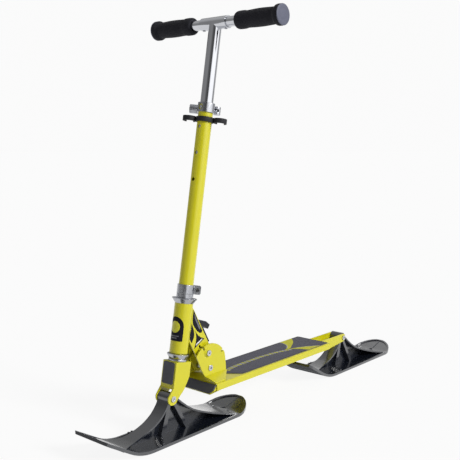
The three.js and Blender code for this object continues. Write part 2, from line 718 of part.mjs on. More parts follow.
const cam = bar('z', camRadius, camBottom, camTopHeight, camX, skewerReach, 20, clampTurn);
const grooveDepths = [skewerHeight - camSlot / 2, skewerHeight + camSlot / 2];
const grooveEnds = [Math.PI, Math.PI + leverSwing].map((angle) => prism('z',
  box(0, 2 * camRadius, -skewerRadius - fit, skewerRadius + fit), ...grooveDepths,
  clampTurn.clone().multiply(move(camX, skewerReach, 0)).multiply(turnZ(angle))));
const camGroove = joined(...grooveEnds, prism('z',
  [[camX, skewerReach], ...arc(camX, skewerReach, 2 * camRadius, Math.PI, Math.PI + leverSwing, 8)],
  ...grooveDepths, clampTurn));
const camEye = bar('z', skewerRadius + 2 * fit, skewerHeight - camSlot / 2, skewerHeight + camSlot / 2,
  camX, skewerReach, 12, clampTurn);
const leverBack = skewerReach + barrelRadius + 2 * fit;
const leverLine = rounded([[camX, skewerReach + camRadius / 2], [camX, leverBack + leverSheet],
  [camX - leverLength * 0.4, leverBack + leverSheet],
  [camX - leverLength, leverBack + leverSheet * 0.5]], leverSheet * 2, false);
const leverArm = prism('z', strip(leverLine, leverSheet), skewerHeight - leverHeight / 2,
  skewerHeight + leverHeight / 2, clampTurn);
const camBore = bar('z', camPinRadius + fit, camBottom - overrun, camTopHeight + overrun, camX, skewerReach,
  12, clampTurn);
add(steering, 'clamp_lever', cut(joined(cam, leverArm), camGroove, camEye, camBore), steel);

// Clip that holds the two handles when they are taken off

const holderTop = holderBottom + holderHeight;
const clipOuter = handleRadius + fit + clipWall;
const holderBody = joined(
  bar('z', tubeFit + holderWall, holderBottom, holderTop, 0, 0, 26),
  prism('z', box(-clipReach, clipReach, -holderWall, holderWall), holderBottom, holderTop, clampTurn),
  ...[-1, 1].map((side) => bar('z', clipOuter, holderBottom, holderTop, side * clipReach, 0, 18, clampTurn)),
);
const holderCuts = [
  bar('z', tubeFit, holderBottom - overrun, holderTop + overrun, 0, 0, 26),
  ...[-1, 1].map((side) => bar('z', handleRadius + fit, holderBottom - overrun, holderTop + overrun,
  side * clipReach, 0, 18, clampTurn)),
  ...[-1, 1].map((side) => prism('z', box(side * clipReach - clipMouth / 2,
  side * clipReach + clipMouth / 2, 0, 2 * clipOuter),
    holderBottom - overrun, holderTop + overrun, clampTurn)),
];
add(steering, 'handle_holder', cut(holderBody, ...holderCuts), blackRubber);

// T-bar: the stem slides in the column and carries a sleeve for the handles

const stem = bar('z', stemRadius, stemBottom, handleHeight, 0, 0, 26);
const stemBore = bar('z', stemRadius - stemWall, stemBottom - overrun, handleHeight, 0, 0, 26);
const sleeve = bar('x', teeRadius, -teeHalfLength, teeHalfLength, 0, handleHeight, 24);
const sleeveBore = bar('x', handleRadius + fit, -teeHalfLength - overrun, teeHalfLength + overrun, 0,
  handleHeight, 24);
const snapX = teeHalfLength - snapFromEnd;
const sleeveHoles = [-1, 1].map((side) => bar('z', snapRadius + fit, handleHeight - 2 * teeRadius,
  handleHeight, side * snapX, 0, 16));
add(steering, 't_bar', cut(joined(cut(stem, stemBore), sleeve), sleeveBore, ...sleeveHoles,
  frontHole(buttonRadius + fit, topHoleHeight)), chrome);

// One-piece spring clip in the stem: a bent leaf with the button on its front leg
const clipLeaf = stemWall;
const leafFront = 2 * fit - Math.sqrt((stemRadius - stemWall) ** 2 - buttonRadius ** 2);
const clipLine = rounded([[leafFront, topHoleHeight - 2 * buttonRadius],
  [leafFront, topHoleHeight + 3 * buttonRadius],
  [0, topHoleHeight + 9 * buttonRadius], [-leafFront, topHoleHeight + 3 * buttonRadius],
  [-leafFront, topHoleHeight - 2 * buttonRadius]], 2 * buttonRadius, false);
const leaf = prism('x', strip(clipLine, clipLeaf), -buttonRadius, buttonRadius);
const heightButton = bar('y', buttonRadius, -columnRadius - buttonProud, leafFront + clipLeaf / 2, 0,
  topHoleHeight, 14);
add(steering, 'height_button_clip', joined(leaf, heightButton), chrome);

// Handles

const snapHeadRadius = snapRadius + snapHead;
const snapSeat = fit - Math.sqrt(handleBore ** 2 - snapHeadRadius ** 2);

function addHandle(name, side) {
  const flip = new THREE.Matrix4().makeScale(side, 1, 1);
  const gripLength = gripEnd - gripStart;
  const along = (a, b) => (side > 0 ? [a, b] : [-b, -a]);
  const tube = cut(
    bar('x', handleRadius, ...along(handleInset, gripEnd), 0, 0, 20),
    bar('x', handleBore, ...along(handleInset - overrun, gripEnd + overrun), 0, 0, 20),
    bar('z', snapRadius + fit, -2 * handleRadius, 0, side * snapX, 0, 16),
  );
  add(handlebar, `${name}_handle_tube`, tube, chrome);
  const profile = [[0, gripStart],
    ...gripProfileShares.map(([t, r]) => [r * gripFoamRadius, gripStart + t * gripLength]), [0, gripEnd]];
  const lying = new THREE.Matrix4().makeRotationY(Math.PI / 2);
  const grip = cut(turned(profile, 20, flip.clone().multiply(lying)),
    bar('x', handleRadius + fit, ...along(gripStart - overrun, gripEnd + overrun), 0, 0, 20));
  add(handlebar, `${name}_grip`, grip, foam);
  const capFrom = gripEnd + fit;
  const cap = joined(bar('x', endCapRadius, ...along(capFrom, capFrom + endCapSheet), 0, 0, 20),
    bar('x', handleBore - fit, ...along(capFrom - endCapPlug, capFrom + endCapSheet / 2), 0, 0, 18));
  add(handlebar, `${name}_end_cap`, cap, greyPlastic);
  const button = joined(bar('z', snapRadius, -teeRadius - snapProud, snapSeat + snapHead / 2, side * snapX,
    0, 16),
    bar('z', snapHeadRadius, snapSeat, snapSeat + snapHead, side * snapX, 0, 16));
  add(handlebar, `${name}_handle_button`, button, steel);
}
addHandle('left', 1);
addHandle('right', -1);

// Deck

const deckBottom = deckTop - deckHeight;
const deckOutside = rounded(box(-deckHalfWidth, deckHalfWidth, deckBottom, deckTop),
  [0, 0, deckEdgeRadius, deckEdgeRadius]);
const deckInside = box(deckSheet - deckHalfWidth, deckHalfWidth - deckSheet, deckBottom + deckSheet,
  deckTop - deckSheet);
const deckGap = box(deckFlange - deckHalfWidth, deckHalfWidth - deckFlange, deckBottom - overrun,
  deckTop - deckSheet);
const deckEnds = [deckFront - overrun, deckRear + overrun];
add(scooter, 'deck', cut(prism('y', deckOutside, deckFront, deckRear), prism('y', deckInside, ...deckEnds),
  prism('y', deckGap, ...deckEnds)), paint);

const tapeHalf = deckHalfWidth - tapeEdge;
const tapeOutline = rounded([
  [tapeCutAcross - tapeHalf, tapeFront], [tapeHalf - tapeCutAcross, tapeFront],
  [tapeHalf, tapeFront + tapeCutBack],
  [tapeHalf, deckRear - tapeEdge / 2], [-tapeHalf, deckRear - tapeEdge / 2],
  [-tapeHalf, tapeFront + tapeCutBack],
], tapeEdge);
add(scooter, 'grip_tape', prism('z', tapeOutline, deckTop + fit, deckTop + fit + tapeSheet), tape);

// Nose: cheeks and a sloped front under a black cap

const noseFace = deckFront - fit;
const noseTip = noseFace - noseReach;
const noseLow = deckBottom - noseDrop;
const noseTop = deckTop - noseTopDrop;
const noseUnder = deckBottom - fit;
const noseSide = [[noseFace, noseTop], [noseTip, noseLow + sheet], [noseTip + sheet, noseLow],
  [deckFront + noseBack, noseUnder],
  [noseFace, noseUnder]];
const noseHollow = [[noseFace + overrun, noseTop - sheet * 2], [noseTip + 2 * sheet, noseLow + sheet],
  [deckFront + noseBack, noseUnder + overrun], [noseFace, noseUnder + overrun]];
const noseFront = (half, low) => prism('y', [
  [noseCorner - half, low], [half - noseCorner, low], [half, low + noseCorner], [half, deckTop],
  [-half, deckTop],
  [-half, low + noseCorner],
], noseTip - capSheet - overrun, deckFront + noseBack + overrun);
add(scooter, 'nose_bracket',
  cut(prism('x', noseSide, -noseHalfWidth, noseHalfWidth).intersect(noseFront(noseHalfWidth, noseLow)),
  prism('x', noseHollow, sheet - noseHalfWidth,
  noseHalfWidth - sheet).intersect(noseFront(noseHalfWidth - sheet, noseLow + sheet))),
paint);

const slope = new THREE.Vector2(noseTip - noseFace, noseLow + sheet - noseTop).normalize();
const capShift = [slope.y * fit, -slope.x * fit];
const capLine = [[noseFace + capShift[0], noseTop + capShift[1]],
  [noseTip + capShift[0], noseLow + sheet + capShift[1]]];
const capPlate = prism('x', strip(capLine.reverse(), -capSheet), -capHalfWidth, capHalfWidth);
add(scooter, 'front_cap', capPlate.intersect(noseFront(capHalfWidth, noseLow + sheet)), blackPlastic);

// Fold bracket plates, each with two lugs that the lock pin drops into

const polar = (radius, angle) => [radius * Math.cos(angle), radius * Math.sin(angle)];
const foldedLockAngle = lockAngle - foldAngle;
const bracketBottom = deckTop + fit - foldHeight;
const lockLean = armTilt + Math.PI / 2 - lockAngle; // the pin lifts along the arm
const bracketNotch = (angle) => {
  const slot = box(0, bracketArc, -lockPinRadius - fit, lockPinRadius + fit);
  const lift = new THREE.Matrix4().makeRotationX(angle + lockLean);
  return joined(prism('x', slot, 0, 2 * bracketHalfWidth,
    lift.premultiply(move(0, ...polar(lockRadius, angle)))),
    bar('x', lockPinRadius + fit, 0, 2 * bracketHalfWidth, ...polar(lockRadius, angle), 16));
};
const lug = (angle) => {
  const side = [...arc(0, 0, lugInner, angle - lugHalfAngle, angle + lugHalfAngle, 4),
    ...arc(0, 0, lugOuter, angle + lugHalfAngle, angle - lugHalfAngle, 4)];
  return prism('x', side, neckHalfWidth + lugSideGap, bracketInner + sheet / 2);
};
function makeBracket(side) {
  const shoulder = polar(bracketArc, foldedLockAngle - lugHalfAngle);
  const { shoulder: front, waist, toe } = bracketFrontShares;
  const at = ([y, z]) => [y * bracketArc, z * bracketArc];
  const outline = [
    [toe * bracketArc, bracketBottom], [bracketRear, bracketBottom], ...bracketRearShares.map(at), shoulder,
    ...arc(0, 0, bracketArc, foldedLockAngle, Math.atan2(front[1], front[0]), 16), at(waist),
  ];
  const foot = [[bracketHalfWidth, bracketBottom + bracketFootRise],
    [bracketFootHalfWidth, bracketBottom + sheet],
    [bracketFootHalfWidth, bracketBottom], [bracketFootHalfWidth - sheet, bracketBottom],
    [bracketInner, bracketBottom + bracketFootRise - sheet / 2], [bracketInner, bracketArc + overrun],
    [bracketHalfWidth, bracketArc + overrun]];
  const place = move(0, foldY, foldHeight);
  const flare = prism('y', foot, -2 * bracketArc, 2 * bracketArc);
  const plate = prism('x', outline, 0, bracketFootHalfWidth + overrun).intersect(flare);
  const [stopY, stopZ] = polar(stopRadius, stopAngle);
  const lathed = turned([[0, bracketHalfWidth - sheet / 2], [stopBoss, bracketHalfWidth - sheet / 2],
    [stopBoss, bracketHalfWidth],
    [stopBoss * 0.7, bracketHalfWidth + stopBossRise], [0, bracketHalfWidth + stopBossRise]], 18,
    new THREE.Matrix4().makeRotationY(Math.PI / 2).premultiply(move(0, stopY, stopZ)));
  const bores = [[0, 0], [stopY, stopZ]].map(([y, z]) => bar('x', axleRadius + fit, 0, bracketFootHalfWidth,
    y, z, 14));
  const beyond = bracketFootHalfWidth + overrun;
  const corner = prism('z',
    [[bracketHalfWidth, bracketRear], [bracketFootHalfWidth, bracketRear - bracketFootCut],
    [beyond, bracketRear - bracketFootCut], [beyond, bracketRear + overrun],
    [bracketHalfWidth, bracketRear + overrun]],
  bracketBottom - overrun, bracketBottom + bracketFootRise + overrun);
  const solid = cut(joined(plate, lathed, lug(lockAngle), lug(foldedLockAngle)), ...bores, corner,
    bracketNotch(lockAngle), bracketNotch(foldedLockAngle));
  const geometry = toGeometry(solid);
  geometry.applyMatrix4(new THREE.Matrix4().makeScale(side, 1, 1).premultiply(place));
  return toSolid(geometry);
}
add(scooter, 'fold_bracket_left', makeBracket(1), paint);
add(scooter, 'fold_bracket_right', makeBracket(-1), paint);
addBolt(scooter, 'fold_pivot', axleRadius, bracketHalfWidth, bracketHalfWidth, foldY, foldHeight);
const [stopAtY, stopAtZ] = polar(stopRadius, stopAngle);
addBolt(scooter, 'fold_stop', axleRadius, bracketHalfWidth, bracketHalfWidth, foldY + stopAtY,
  foldHeight + stopAtZ, stopBossRise);

// Neck arm, drawn along its own slope: y to its back, z up the arm

const inArm = new THREE.Matrix4().copy(arm.matrixWorld).invert().multiply(steering.matrixWorld);
const armSide = [
  ...arc(0, 0, armBoss, Math.PI, 2 * Math.PI, 14), [armRear, armShoulder], [armRear, armRearMeet],
  [-armFront, armFrontMeet],
];
const armShell = prism('x', armSide, -neckHalfWidth, neckHalfWidth);
const armBackInner = armRear - sheet;
const armRoom = [[-2 * armRear, -2 * armBoss], [armBackInner, -2 * armBoss],
  [armBackInner, 2 * armRearMeet], [-2 * armRear, 2 * armRearMeet]];
const armOpening = box(-2 * armRear, armRear + overrun, -2 * armBoss, armWebBottom);
const seatBar = prism('x', box(springAcross - 2 * springRadius, armBackInner + sheet / 2, springSeat,
  springSeat + sheet),
  -neckInner - sheet / 2, neckInner + sheet / 2);
const lockInArm = lockAngle - armTilt;
const [pinY, pinZ] = polar(lockRadius, lockInArm);
const stopInArm = stopAngle - armTilt;
const pinSlot = joined(
  prism('x', box(pinY - lockPinRadius - fit, pinY + lockPinRadius + fit, pinZ, pinZ + lockTravel),
  -2 * neckHalfWidth, 2 * neckHalfWidth),
  bar('x', lockPinRadius + fit, -2 * neckHalfWidth, 2 * neckHalfWidth, pinY, pinZ, 16),
  bar('x', lockPinRadius + fit, -2 * neckHalfWidth, 2 * neckHalfWidth, pinY, pinZ + lockTravel, 16),
);
const stopFit = axleRadius + fit;
const stopSlot = joined(
  prism('x', [...arc(0, 0, stopRadius - stopFit, stopInArm, stopInArm + foldAngle, 12),
    ...arc(0, 0, stopRadius + stopFit, stopInArm + foldAngle, stopInArm, 12)], -2 * neckHalfWidth,
    2 * neckHalfWidth),
  bar('x', stopFit, -2 * neckHalfWidth, 2 * neckHalfWidth, ...polar(stopRadius, stopInArm), 20),
);
const pivotBarrelRadius = axleRadius + fit + barrelWall;
const neckCuts = [
  prism('x', armRoom, -neckInner, neckInner), prism('x', armOpening, -neckInner, neckInner), pinSlot,
  stopSlot,
  bar('x', pivotBarrelRadius + fit, -2 * neckHalfWidth, 2 * neckHalfWidth, 0, 0, 18),
  bar('z', headTubeRadius + fit, headTubeBottom - headTubeTop, 2 * headTubeTop, 0, 0, 32, inArm),
];
add(arm, 'neck', joined(cut(armShell, ...neckCuts), seatBar), paint);

add(arm, 'fold_barrel', cut(bar('x', pivotBarrelRadius, fit - bracketInner, bracketInner - fit, 0, 0, 18),
  bar('x', axleRadius + fit, -bracketHalfWidth, bracketHalfWidth, 0, 0, 20)), steel);

// Release: a pull on the neck's back, the lock pin that it lifts and their spring

const pullFace = armRear + fit;
const pullOuter = pullFace + pullSheet;
const linkTop = pullBottom + pullLinkHeight;
const knobSide = pullKnobShares.map(([out, up]) => [pullOuter - pullSheet / 2 + out * pullKnobReach,
  pullTop + up * pullKnobReach]);
const pull = joined(
  prism('x', box(pullFace, pullOuter, pullBottom, pullTop), -pullStripHalfWidth, pullStripHalfWidth),
  prism('x', knobSide, -pullHalfWidth, pullHalfWidth),
  prism('x', box(pinY, pullOuter, pullBottom, linkTop), -pullHalfWidth, pullHalfWidth),
  bar('x', pullLinkHeight * 0.75, -pullHalfWidth, pullHalfWidth, pinY, pinZ, 20),
);
add(arm, 'release_pull',
  cut(pull, bar('x', lockPinRadius + fit, -bracketInner, bracketInner, pinY, pinZ, 16)), blackPlastic);
add(arm, 'lock_pin', bar('x', lockPinRadius, fit - bracketInner, bracketInner - fit, pinY, pinZ, 16), steel);
const springFrom = linkTop + fit;
const springTo = springSeat - fit;
add(arm, 'release_spring', cut(bar('z', springRadius, springFrom, springTo, 0, springAcross, 20),
  bar('z', springRadius - springWire, springFrom - overrun, springTo + overrun, 0, springAcross, 20)), steel);

// Rear arms

const armCeiling = deckTop - deckSheet - fit;
const armFlank = [
  [deckRear - armRun, armCeiling], [deckRear - armRun, deckBottom], [rearPivotY - armBellyAhead, armBelly],
  ...arc(rearPivotY, pivotHeight, armHeightAtPivot, -Math.PI / 2, Math.PI / 2, 12),
];
const rearArmBore = bar('x', axleRadius + fit, -deckHalfWidth, deckHalfWidth, rearPivotY, pivotHeight, 20);
add(scooter, 'rear_arm_left', cut(prism('x', armFlank, forkInner, forkHalfWidth), rearArmBore), paint);
add(scooter, 'rear_arm_right', cut(prism('x', armFlank, -forkHalfWidth, -forkInner), rearArmBore), paint);

export default scooter;
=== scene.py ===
"""Looks for the snow scooter: finer pieces, procedural materials, light and camera.

Metres, +Z up; the scooter's front faces -Y and +X is the rider's left.
"""
import json
import math

import bmesh
import bpy
from mathutils import Matrix, Vector

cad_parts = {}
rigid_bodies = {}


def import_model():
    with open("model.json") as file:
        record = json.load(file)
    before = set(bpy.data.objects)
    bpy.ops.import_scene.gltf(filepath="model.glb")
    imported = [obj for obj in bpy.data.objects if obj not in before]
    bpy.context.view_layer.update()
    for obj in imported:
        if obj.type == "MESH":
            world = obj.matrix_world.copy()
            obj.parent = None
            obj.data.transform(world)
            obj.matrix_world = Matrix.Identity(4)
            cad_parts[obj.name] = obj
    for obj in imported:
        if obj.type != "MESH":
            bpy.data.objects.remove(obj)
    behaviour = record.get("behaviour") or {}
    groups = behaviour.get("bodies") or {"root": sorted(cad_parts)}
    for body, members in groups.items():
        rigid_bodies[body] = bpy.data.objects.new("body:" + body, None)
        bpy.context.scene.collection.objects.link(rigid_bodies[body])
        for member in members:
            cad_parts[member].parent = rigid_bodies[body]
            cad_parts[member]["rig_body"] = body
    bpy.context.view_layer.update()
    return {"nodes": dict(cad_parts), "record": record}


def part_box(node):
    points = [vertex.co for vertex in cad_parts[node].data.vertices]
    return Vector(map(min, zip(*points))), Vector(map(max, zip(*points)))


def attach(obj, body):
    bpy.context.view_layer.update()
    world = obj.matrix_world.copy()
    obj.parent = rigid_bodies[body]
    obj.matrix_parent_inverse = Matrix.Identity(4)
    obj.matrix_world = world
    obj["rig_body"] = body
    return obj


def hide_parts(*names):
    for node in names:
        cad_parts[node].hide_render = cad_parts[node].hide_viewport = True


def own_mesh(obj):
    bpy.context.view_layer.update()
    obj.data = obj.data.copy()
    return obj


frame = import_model()

MM = 0.001

# The frames that the scooter's tilted pieces were drawn in: the steering's stands
# where its axis meets the ground, and the arm's stands on the fold's axis, in mm
RAKE = math.radians(9.84)
STEERING_Y = -341.163
STEERING = Matrix.Translation((0, STEERING_Y * MM, 0)) @ Matrix.Rotation(-RAKE, 4, "X")
ARM_TILT = math.radians(29.4)
FOLD_Y, FOLD_Z = -236.7, 123.8
ARM = Matrix.Translation((0, FOLD_Y * MM, FOLD_Z * MM)) @ Matrix.Rotation(ARM_TILT, 4, "X")

# Colours, linear
YELLOW = (0.60, 0.555, 0.005, 1)
YELLOW_DEEP = (0.54, 0.51, 0.004, 1)
# Lighter along the edges: painted highlight on the rims, partly standing for wear
YELLOW_EDGE_HIGHLIGHT = (0.72, 0.70, 0.07, 1)
SKI_BLACK = (0.0055, 0.0075, 0.013, 1)
SKI_GREY = (0.012, 0.014, 0.022, 1)
# Lighter along the edges: painted rim highlight, partly wear
SKI_EDGE_HIGHLIGHT = (0.060, 0.068, 0.095, 1)
PLASTIC_BLACK = (0.0080, 0.0080, 0.0115, 1)
PLASTIC_GREY = (0.014, 0.014, 0.019, 1)
# Lighter along the edges: painted rim highlight, partly wear
PLASTIC_EDGE_HIGHLIGHT = (0.028, 0.028, 0.036, 1)
PLATE_BLACK = (0.052, 0.054, 0.070, 1)
PLATE_GREY = (0.085, 0.087, 0.108, 1)
RUBBER_BLACK = (0.006, 0.006, 0.008, 1)
FOAM_BLACK = (0.0052, 0.0052, 0.0078, 1)
FOAM_GREY = (0.016, 0.016, 0.022, 1)
CAP_GREY = (0.105, 0.112, 0.160, 1)
TAPE_GREY = (0.088, 0.088, 0.112, 1)
TAPE_SPECK = (0.21, 0.21, 0.25, 1)
CHROME = (0.60, 0.61, 0.64, 1)
STEEL = (0.44, 0.45, 0.48, 1)

# Colours of the prints, each with the second one that varies it
STRIPE_YELLOW, STRIPE_YELLOW_SPECK = (0.62, 0.60, 0.03, 1), (0.80, 0.78, 0.20, 1)
STRIPE_PALE, STRIPE_PALE_SPECK = (0.50, 0.50, 0.47, 1), (0.74, 0.74, 0.70, 1)
BORDER_DARK, BORDER_DARK_SPECK = (0.022, 0.022, 0.027, 1), (0.07, 0.07, 0.08, 1)
FILM_BLACK, FILM_BLACK_CLOUD = (0.005, 0.005, 0.009, 1), (0.010, 0.009, 0.016, 1)
FILM_GREY, FILM_GREY_CLOUD = (0.10, 0.10, 0.12, 1), (0.16, 0.16, 0.18, 1)
FILM_WHITE, FILM_WHITE_CLOUD = (0.78, 0.79, 0.80, 1), (0.62, 0.63, 0.65, 1)
FILM_YELLOW, FILM_YELLOW_CLOUD = (0.62, 0.60, 0.02, 1), (0.50, 0.50, 0.02, 1)


# Materials

def add(tree, kind, inputs=None, **settings):
    """A shader node with its settings, and its sockets set to values or linked."""
    made = tree.nodes.new("ShaderNode" + kind)
    for name, value in settings.items():
        setattr(made, name, value)
    for name, value in (inputs or {}).items():
        if isinstance(value, bpy.types.NodeSocket):
            tree.links.new(value, made.inputs[name])
        else:
            made.inputs[name].default_value = value
    return made


def new_look(name, **sockets):
    """A material with its shader's plain sockets set, named as in Coat_Weight."""
    look = bpy.data.materials.new(name)
    look.use_nodes = True
    shader = look.node_tree.nodes["Principled BSDF"]
    for socket, value in sockets.items():
        shader.inputs[socket.replace("_", " ")].default_value = value
    return look, look.node_tree, shader


def noise(tree, scale, detail, rough=0.5, stretch=(1, 1, 1)):
    """Soft noise fixed to the piece, mostly from 0.3 to 0.7, its scale in waves a metre."""
    spot = add(tree, "TexCoord").outputs["Object"]
    place = add(tree, "Mapping", {"Vector": spot, "Scale": stretch}).outputs[0]
    return add(tree, "TexNoise", {"Vector": place, "Scale": scale, "Detail": detail,
                                  "Roughness": rough}).outputs["Fac"]


def cells(tree, scale):
    """The distance to the nearest of many scattered points, fixed to the piece."""
    spot = add(tree, "TexCoord").outputs["Object"]
    return add(tree, "TexVoronoi", {"Vector": spot, "Scale": scale}).outputs["Distance"]


def between(tree, value, low, high, start=0.3, end=0.7):
    """A value from low to high as the given one goes from start to end."""
    return add(tree, "MapRange", {"Value": value, "From Min": start, "From Max": end,
                                  "To Min": low, "To Max": high}).outputs["Result"]


# A Mix node's sockets 2 and 3 take its numbers, and 6 and 7 its colours
def mixed(tree, share, first, second):
    """The first number, and the second as the share rises to 1."""
    return add(tree, "Mix", {"Factor": share, 2: first, 3: second}, data_type="FLOAT").outputs[0]


def blended(tree, share, first, second):
    """The first colour, and the second as the share rises to 1."""
    return add(tree, "Mix", {"Factor": share, 6: first, 7: second}, data_type="RGBA").outputs[2]


def dimmed(colour, share):
    return tuple(share * part for part in colour[:3]) + (1,)


def surface(tree, shader, bumps, edge=0.5):
    """Bumps of (height, strength, depth in mm) over edges rounded to a radius in mm."""
    normal = add(tree, "Bevel", {"Radius": edge * MM}, samples=4).outputs["Normal"]
    for height, strength, depth in bumps:
        normal = add(tree, "Bump", {"Height": height, "Strength": strength,
                                    "Distance": depth * MM, "Normal": normal}).outputs["Normal"]
    tree.links.new(normal, shader.inputs["Normal"])


def worn_and_highlit_edges(tree, radius, most):
    """0 on flat places and up to a share on the edges, within a radius in mm: a mask that paints
    highlight along the edges, partly standing for wear.
    """
    soft = add(tree, "Bevel", {"Radius": radius * MM}, samples=6).outputs["Normal"]
    flat = add(tree, "NewGeometry").outputs["Normal"]
    facing = add(tree, "VectorMath", {0: soft, 1: flat}, operation="DOT_PRODUCT").outputs["Value"]
    return between(tree, facing, most, 0, start=0.80, end=0.965)


def paint_look(name, colour, deep, edge):
    look, tree, shader = new_look(name, Coat_Weight=0.35, Coat_Roughness=0.10)
    cloud = blended(tree, between(tree, noise(tree, 22, 2), 0, 0.35), colour, deep)
    # The edges lighten to a paler yellow: painted highlight, partly wear
    worn_and_highlit = blended(tree, worn_and_highlit_edges(tree, 0.9, 0.55), cloud, edge)
    tree.links.new(worn_and_highlit, shader.inputs["Base Color"])
    tree.links.new(between(tree, noise(tree, 130, 4), 0.28, 0.40), shader.inputs["Roughness"])
    orange_peel, waves = noise(tree, 900, 2), noise(tree, 60, 2)
    surface(tree, shader, [(orange_peel, 0.08, 0.10), (waves, 0.05, 0.3)])
    return look


SCUFFED = 0.85  # a sole's roughness on the faces that look down


def plastic_look(name, black, grey, low, high, coat=0.0, coat_bend=1.5, grain=700, depth=0.08,
                 swell=0.08, shine=0.5, edge=None, sole=False):
    """Moulded plastic or film, rough from low to high, with a grain of a depth in mm."""
    look, tree, shader = new_look(name, Coat_Weight=coat, Coat_Roughness=0.12,
                                  Coat_IOR=coat_bend, Specular_IOR_Level=shine)
    tone = blended(tree, between(tree, noise(tree, 30, 4), 0, 0.4), black, grey)
    if edge:
        # Edges lightened to the edge colour: painted rim highlight, partly wear
        tone = blended(tree, worn_and_highlit_edges(tree, 1.1, 0.8), tone, edge)
    tree.links.new(tone, shader.inputs["Base Color"])
    rough = between(tree, noise(tree, 90, 5, 0.6), low, high)
    if sole:
        normal = add(tree, "TexCoord").outputs["Normal"]
        upward = add(tree, "SeparateXYZ", {"Vector": normal}).outputs["Z"]
        below = between(tree, upward, 1, 0, start=-0.45, end=-0.10)
        rough = mixed(tree, below, rough, SCUFFED)
        tree.links.new(mixed(tree, below, coat, 0.0), shader.inputs["Coat Weight"])
    tree.links.new(rough, shader.inputs["Roughness"])
    fine, waves = noise(tree, grain, 3), noise(tree, 45, 2)
    surface(tree, shader, [(fine, 0.12, depth), (waves, swell, 0.5)])
    return look


def metal_look(name, colour, low, high, stretch, grain, scratch, dull):
    """Metal, rough from low to high along stretched streaks, dulled in clouds to a share."""
    look, tree, shader = new_look(name, Metallic=1.0)
    streaks = noise(tree, grain, 4, 0.6, stretch)
    tone = blended(tree, between(tree, noise(tree, 40, 3), 0, 0.5), colour, dimmed(colour, dull))
    tree.links.new(tone, shader.inputs["Base Color"])
    tree.links.new(between(tree, streaks, low, high), shader.inputs["Roughness"])
    surface(tree, shader, [(streaks, scratch, 0.04)], edge=0.4)
    return look


def foam_look(name, black, grey):
    look, tree, shader = new_look(name, Sheen_Weight=0.03, Sheen_Roughness=0.6,
                                  Specular_IOR_Level=0.22)
    pores = cells(tree, 900)
    tone = blended(tree, between(tree, pores, 0, 1, start=0.1, end=0.9), black, grey)
    tree.links.new(tone, shader.inputs["Base Color"])
    tree.links.new(between(tree, noise(tree, 300, 4), 0.82, 0.97), shader.inputs["Roughness"])
    dents = noise(tree, 160, 3)
    surface(tree, shader, [(pores, 0.6, 0.35), (dents, 0.35, 0.5)], edge=0.8)
    return look


def tape_look(name, colour, speck):
    """Coarse grit that glints in specks of a second colour."""
    look, tree, shader = new_look(name, Specular_IOR_Level=0.35)
    grit = cells(tree, 1500)
    cloud = between(tree, noise(tree, 55, 4), 0, 0.35)
    tone = blended(tree, cloud, colour, dimmed(colour, 0.6))
    tone = blended(tree, between(tree, grit, 1, 0, start=0.05, end=0.55), tone, speck)
    tree.links.new(tone, shader.inputs["Base Color"])
    tree.links.new(between(tree, noise(tree, 700, 3), 0.62, 0.95), shader.inputs["Roughness"])
    clumps = noise(tree, 420, 4)
    surface(tree, shader, [(grit, 0.7, 0.25), (clumps, 0.4, 0.2)], edge=0.3)
    return look


# One look for each of the record's material slots
looks = {
    "yellow_paint": paint_look("yellow_powder_coat", YELLOW, YELLOW_DEEP, YELLOW_EDGE_HIGHLIGHT),
    "ski_plastic": plastic_look(
        "moulded_ski", SKI_BLACK, SKI_GREY, 0.24, 0.34, coat=1.0, coat_bend=1.75,
        depth=0.05, swell=0.05, edge=SKI_EDGE_HIGHLIGHT, sole=True),
    "black_plastic": plastic_look(
        "moulded_black", PLASTIC_BLACK, PLASTIC_GREY, 0.36, 0.50,
        grain=900, depth=0.10, shine=0.32, edge=PLASTIC_EDGE_HIGHLIGHT),
    "black_rubber": plastic_look(
        "soft_rubber", RUBBER_BLACK, PLASTIC_GREY, 0.60, 0.80, grain=1100, depth=0.12, shine=0.35),
    "grip_foam": foam_look("grip_foam", FOAM_BLACK, FOAM_GREY),
    "cap_plastic": plastic_look(
        "grey_cap", CAP_GREY, dimmed(CAP_GREY, 0.7), 0.38, 0.55, grain=800, depth=0.10),
    "deck_tape": tape_look("grip_tape_grit", TAPE_GREY, TAPE_SPECK),
    "chromed_steel": metal_look(
        "polished_chrome", CHROME, 0.06, 0.12, (1, 1, 0.05), grain=380, scratch=0.015, dull=0.92),
    "plated_steel": metal_look(
        "plated_steel", STEEL, 0.18, 0.30, (1, 1, 0.25), grain=420, scratch=0.05, dull=0.88),
}

# Two nodes in a slot that is black elsewhere are of a greyer plastic
plate_look = plastic_look(
    "moulded_plate", PLATE_BLACK, PLATE_GREY, 0.40, 0.55,
    grain=800, depth=0.10, shine=0.4, edge=PLASTIC_EDGE_HIGHLIGHT)
own_looks = {"fork_front_plate": plate_look, "front_cap": plate_look}

# Inks on the deck's tape, and films on the neck and the head tube
yellow_print = tape_look("grip_tape_yellow", STRIPE_YELLOW, STRIPE_YELLOW_SPECK)
pale_print = tape_look("grip_tape_pale", STRIPE_PALE, STRIPE_PALE_SPECK)
dark_print = tape_look("grip_tape_border", BORDER_DARK, BORDER_DARK_SPECK)
black_film = plastic_look(
    "printed_film_black", FILM_BLACK, FILM_BLACK_CLOUD, 0.46, 0.56, shine=0.12)
grey_film = plastic_look("printed_film_grey", FILM_GREY, FILM_GREY_CLOUD, 0.24, 0.36, coat=0.4)
white_film = plastic_look(
    "printed_film_white", FILM_WHITE, FILM_WHITE_CLOUD, 0.26, 0.38, coat=0.4)
yellow_film = plastic_look(
    "printed_film_yellow", FILM_YELLOW, FILM_YELLOW_CLOUD, 0.24, 0.36, coat=0.4)


# Pieces

